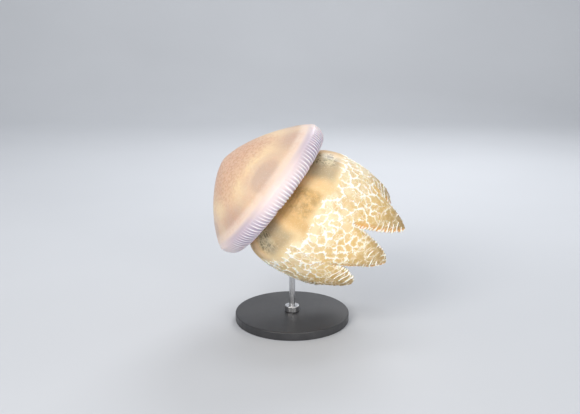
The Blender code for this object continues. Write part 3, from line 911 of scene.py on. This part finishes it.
def root_colour(n, depth, mottle, veins):
    """The arms' smooth roots: peach ridges whose two sides differ, partly in their own colour and partly by
    painted light, olive patches, grey windows and dark spots that are painted shade, the spots under a pale
    mesh, and painted light under the bell.
    """
    quarter = n.reads("quarter")
    spots = n.reads("spots")
    colour = n.ramp(n.math("DIVIDE", depth, 0.08),  # from under the bell down to the net; lighter under the bell as painted light against its shadow
                    (0.0, rgb(248, 208, 150)), (0.30, rgb(243, 201, 142)), (0.60, rgb(238, 202, 146)),
                    (0.90, rgb(240, 216, 170)))
    # The grey is painted shade that shows through the windows.
    grey, blotch = rgb(170, 156, 130), rgb(214, 176, 122)
    # One side of each ridge darker than the other: partly the flesh's own colour, partly painted light and
    # shade.
    peach = n.blend(n.span(n.reads("side_tone_and_light"), -0.7, 0.7), rgb(210, 171, 112), rgb(242, 209, 160))
    olive = n.blend(n.span(n.noise(0.007, 4, 0.6), 0.34, 0.64), rgb(180, 146, 90), rgb(216, 176, 116))
    # Dark dots under a pale mesh: painted shade on the frills under the bell.
    dots = n.product(n.span(n.noise(0.012, 3, 0.6), 0.66, 0.38), n.span(veins, 0.0, 0.15))
    shaded_spots = n.blend(dots, rgb(224, 209, 170), rgb(112, 101, 77))
    above_net = n.span(depth, 0.074, 0.058)
    ridge = n.product(n.span(quarter, 9.0, 16.0), n.span(quarter, 27.0, 18.0))
    colour = n.blend(n.product(ridge, 0.80), colour, peach)
    colour = n.blend(n.product(n.span(quarter, 18.0, 8.0), above_net, 0.9), colour, olive)
    # Grey windows: painted shade seen through the thin flesh.
    colour = n.blend(n.product(n.span(quarter, 22.0, 34.0), above_net, 0.78), colour, grey)
    # Dark spots in painted shade near the bell's margin.
    colour = n.blend(n.product(n.span(spots, 15.0, 7.0), n.span(depth, 0.064, 0.046), 0.85), colour, shaded_spots)
    return n.blend(n.span(mottle, 0.44, 0.70, 0.0, 0.30), colour, blotch)


def netted_colour(n, depth, mottle):
    """The flesh between the net's lines: cream at first, yellower down the arm and grey-brown at its tip."""
    tip = n.reads("tip")
    cream, straw, yellow = rgb(241, 227, 193), rgb(230, 210, 166), rgb(212, 170, 86)
    tan, brown, pale, ochre = rgb(221, 191, 138), rgb(150, 122, 76), rgb(251, 237, 202), rgb(214, 184, 140)
    colour = n.blend(n.span(n.reads("cell"), 0.1, 0.9), cream, straw)
    colour = n.blend(n.span(mottle, 0.42, 0.62, 0.0, 0.85), colour, tan)
    colour = n.blend(n.span(depth, 0.080, 0.155, 0.0, 0.80), colour, yellow)
    colour = n.blend(n.product(n.math("POWER", tip, 0.6), 0.84), colour, brown)
    colour = n.blend(n.product(n.reads("halo"), n.span(tip, 0.0, 1.0, 0.46, 0.22)), colour, pale)
    return n.blend(n.product(n.reads("inside"), 0.30), colour, ochre)


def vein_distance(n):
    """The distance to the nearest of the fine veins, in cells of their wandering mesh."""
    place = n.place()
    wobble = n.add("ShaderNodeTexNoise", {"Vector": place, "Scale": 1 / 0.006, "Detail": 2.0})
    shift = n.add("ShaderNodeVectorMath", {0: wobble.outputs["Color"], "Scale": 0.004}, operation="SCALE")
    wandering = n.add("ShaderNodeVectorMath", {0: place, 1: shift.outputs[0]}, operation="ADD")
    cells = {"Vector": wandering.outputs[0], "Scale": 1 / 0.0088}
    return n.add("ShaderNodeTexVoronoi", cells, feature="DISTANCE_TO_EDGE").outputs["Distance"]


def arms_material():
    n = Nodes("arm_jelly")
    depth = n.reads("depth")
    netted = n.reads("netted")
    mottle = n.noise(0.026, 5)
    grain = n.noise(0.0018, 3)
    veins = vein_distance(n)
    vein = n.product(n.span(veins, 0.13, 0.02), n.span(n.noise(0.013, 2), 0.46, 0.60), netted)
    vein_white, net_white = rgb(255, 247, 226), rgb(255, 251, 238)
    # The orange is painted light, a colour fringe along the lower edges.
    orange, speck = rgb(240, 166, 72), rgb(255, 248, 230)
    colour = n.blend(netted, root_colour(n, depth, mottle, veins), netted_colour(n, depth, mottle))
    colour = n.blend(n.product(vein, 0.60), colour, vein_white)
    # Painted orange fringe of light along the lower edges.
    colour = n.blend(n.product(n.reads("rim"), 0.75), colour, orange)
    colour = n.blend(n.span(n.reads("net"), 0.10, 0.75), colour, net_white)
    colour = n.blend(n.span(grain, 0.52, 0.75, 0.0, 0.25), colour, speck)
    relief = n.math("ADD", n.noise(0.0024, 4), n.product(n.noise(0.0009, 2), 0.4))
    relief = n.math("ADD", relief, n.product(vein, 0.8))
    return n.finish(Base_Color=colour, Roughness=n.span(grain, 0.3, 0.7, 0.38, 0.55),
                    Normal=n.bump(relief, 0.0008, 0.6),
                    Subsurface_Weight=0.30, Subsurface_Radius=(1.0, 0.6, 0.35), Subsurface_Scale=0.004,
                    IOR=1.38, Coat_Weight=0.1, Coat_Roughness=0.25)


def stand_material():
    n = Nodes("satin_black_paint")
    wear = n.noise(0.03, 5)
    colour = n.blend(n.span(wear, 0.4, 0.7), (0.030, 0.030, 0.033, 1), (0.045, 0.045, 0.048, 1))
    return n.finish(Base_Color=colour, Roughness=n.span(wear, 0.3, 0.7, 0.36, 0.48),
                    Normal=n.bump(n.noise(0.0012, 2), 0.0002, 0.25), Metallic=0.0)


def steel_material():
    n = Nodes("brushed_rod")
    stretched = n.add("ShaderNodeMapping", {"Vector": n.place(), "Scale": (1.0, 1.0, 0.04)}).outputs["Vector"]
    streak = n.noise(0.0006, 4, 0.6, stretched)
    colour = n.blend(n.span(streak, 0.3, 0.7), (0.50, 0.50, 0.51, 1), (0.66, 0.66, 0.67, 1))
    return n.finish(Base_Color=colour, Metallic=1.0, Roughness=n.span(streak, 0.3, 0.7, 0.24, 0.40),
                    Normal=n.bump(streak, 0.0001, 0.3))


def floor_material():
    n = Nodes("studio_paper")
    colour = n.blend(n.noise(0.6, 2), rgb(196, 199, 204), rgb(204, 207, 212))
    return n.finish(Base_Color=colour, Roughness=0.9)


# ----------------------------------------------------------------------------------------------- studio

def make_floor():
    """A sheet that lies flat under the model and sweeps up far behind it."""
    section = [(FLOOR_FRONT, 0.0), (FLOOR_BACK, 0.0)]
    for i in range(1, SWEEP_STEPS + 1):
        turn = 0.5 * math.pi * i / SWEEP_STEPS
        rise = SWEEP_RADIUS - SWEEP_RADIUS * math.cos(turn)
        section.append((FLOOR_BACK + SWEEP_RADIUS * math.sin(turn), rise))
    section.append((FLOOR_BACK + SWEEP_RADIUS, WALL_TOP))
    bm = bmesh.new()
    left = [bm.verts.new((-FLOOR_HALF_WIDTH, y, z)) for y, z in section]
    right = [bm.verts.new((FLOOR_HALF_WIDTH, y, z)) for y, z in section]
    for i in range(len(section) - 1):
        bm.faces.new((left[i], right[i], right[i + 1], left[i + 1]))
    mesh = bpy.data.meshes.new("floor")
    bm.to_mesh(mesh)
    bm.free()
    mesh.shade_smooth()
    floor = new_object("floor", mesh)
    floor.data.materials.append(floor_material())


def light_studio():
    for name, place, aim, diameter, watts, colour in LIGHTS:
        lamp = bpy.data.lights.new(name, "AREA")
        lamp.shape = "DISK"
        lamp.size = diameter
        lamp.energy = watts
        lamp.color = colour
        made = new_object(name, lamp)
        made.location = place
        made.rotation_euler = (Vector(aim) - Vector(place)).to_track_quat("-Z", "Y").to_euler()
    world = bpy.data.worlds.new("studio")
    world.use_nodes = True
    sky = world.node_tree.nodes["Background"]
    sky.inputs["Color"].default_value = SKY_COLOUR
    sky.inputs["Strength"].default_value = SKY_STRENGTH
    bpy.context.scene.world = world


def make_camera():
    """A short telephoto view, a little above the animal, that sees it as tilted as it swims."""
    camera = bpy.data.cameras.new("camera")
    camera.lens = 50
    camera.sensor_width = 36
    camera.dof.use_dof = False
    back, up = CAMERA_DISTANCE * math.cos(CAMERA_ELEVATION), CAMERA_DISTANCE * math.sin(CAMERA_ELEVATION)
    made = new_object("camera", camera)
    made.location = BELL_CENTRE + Vector((CAMERA_ASIDE, -back, up - CAMERA_DROP))
    made.rotation_euler = (math.radians(90) - CAMERA_ELEVATION, 0, 0)
    bpy.context.scene.camera = made


# ---------------------------------------------------------------------------------------------- dressing

def dress():
    """Gives the stand its finishes, and covers the solids of flesh with the two skins."""
    finishes = {"stand_base": stand_material(), "stand_collar": steel_material()}
    finishes["stand_rod"] = finishes["stand_collar"]
    for name, finish in finishes.items():
        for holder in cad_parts[name].material_slots:
            holder.material = finish
    bell = make_bell()
    bell.data.materials.append(bell_material())
    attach(bell, "root")
    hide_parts("bell_dome", "bell_margin")
    arms = make_arms()
    arms.data.materials.append(arms_material())
    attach(arms, "root")
    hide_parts(*(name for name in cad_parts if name.startswith(("arm_", "disc_"))))


bpy.context.scene.view_settings.view_transform = "Standard"
dress()
make_floor()
light_studio()
make_camera()
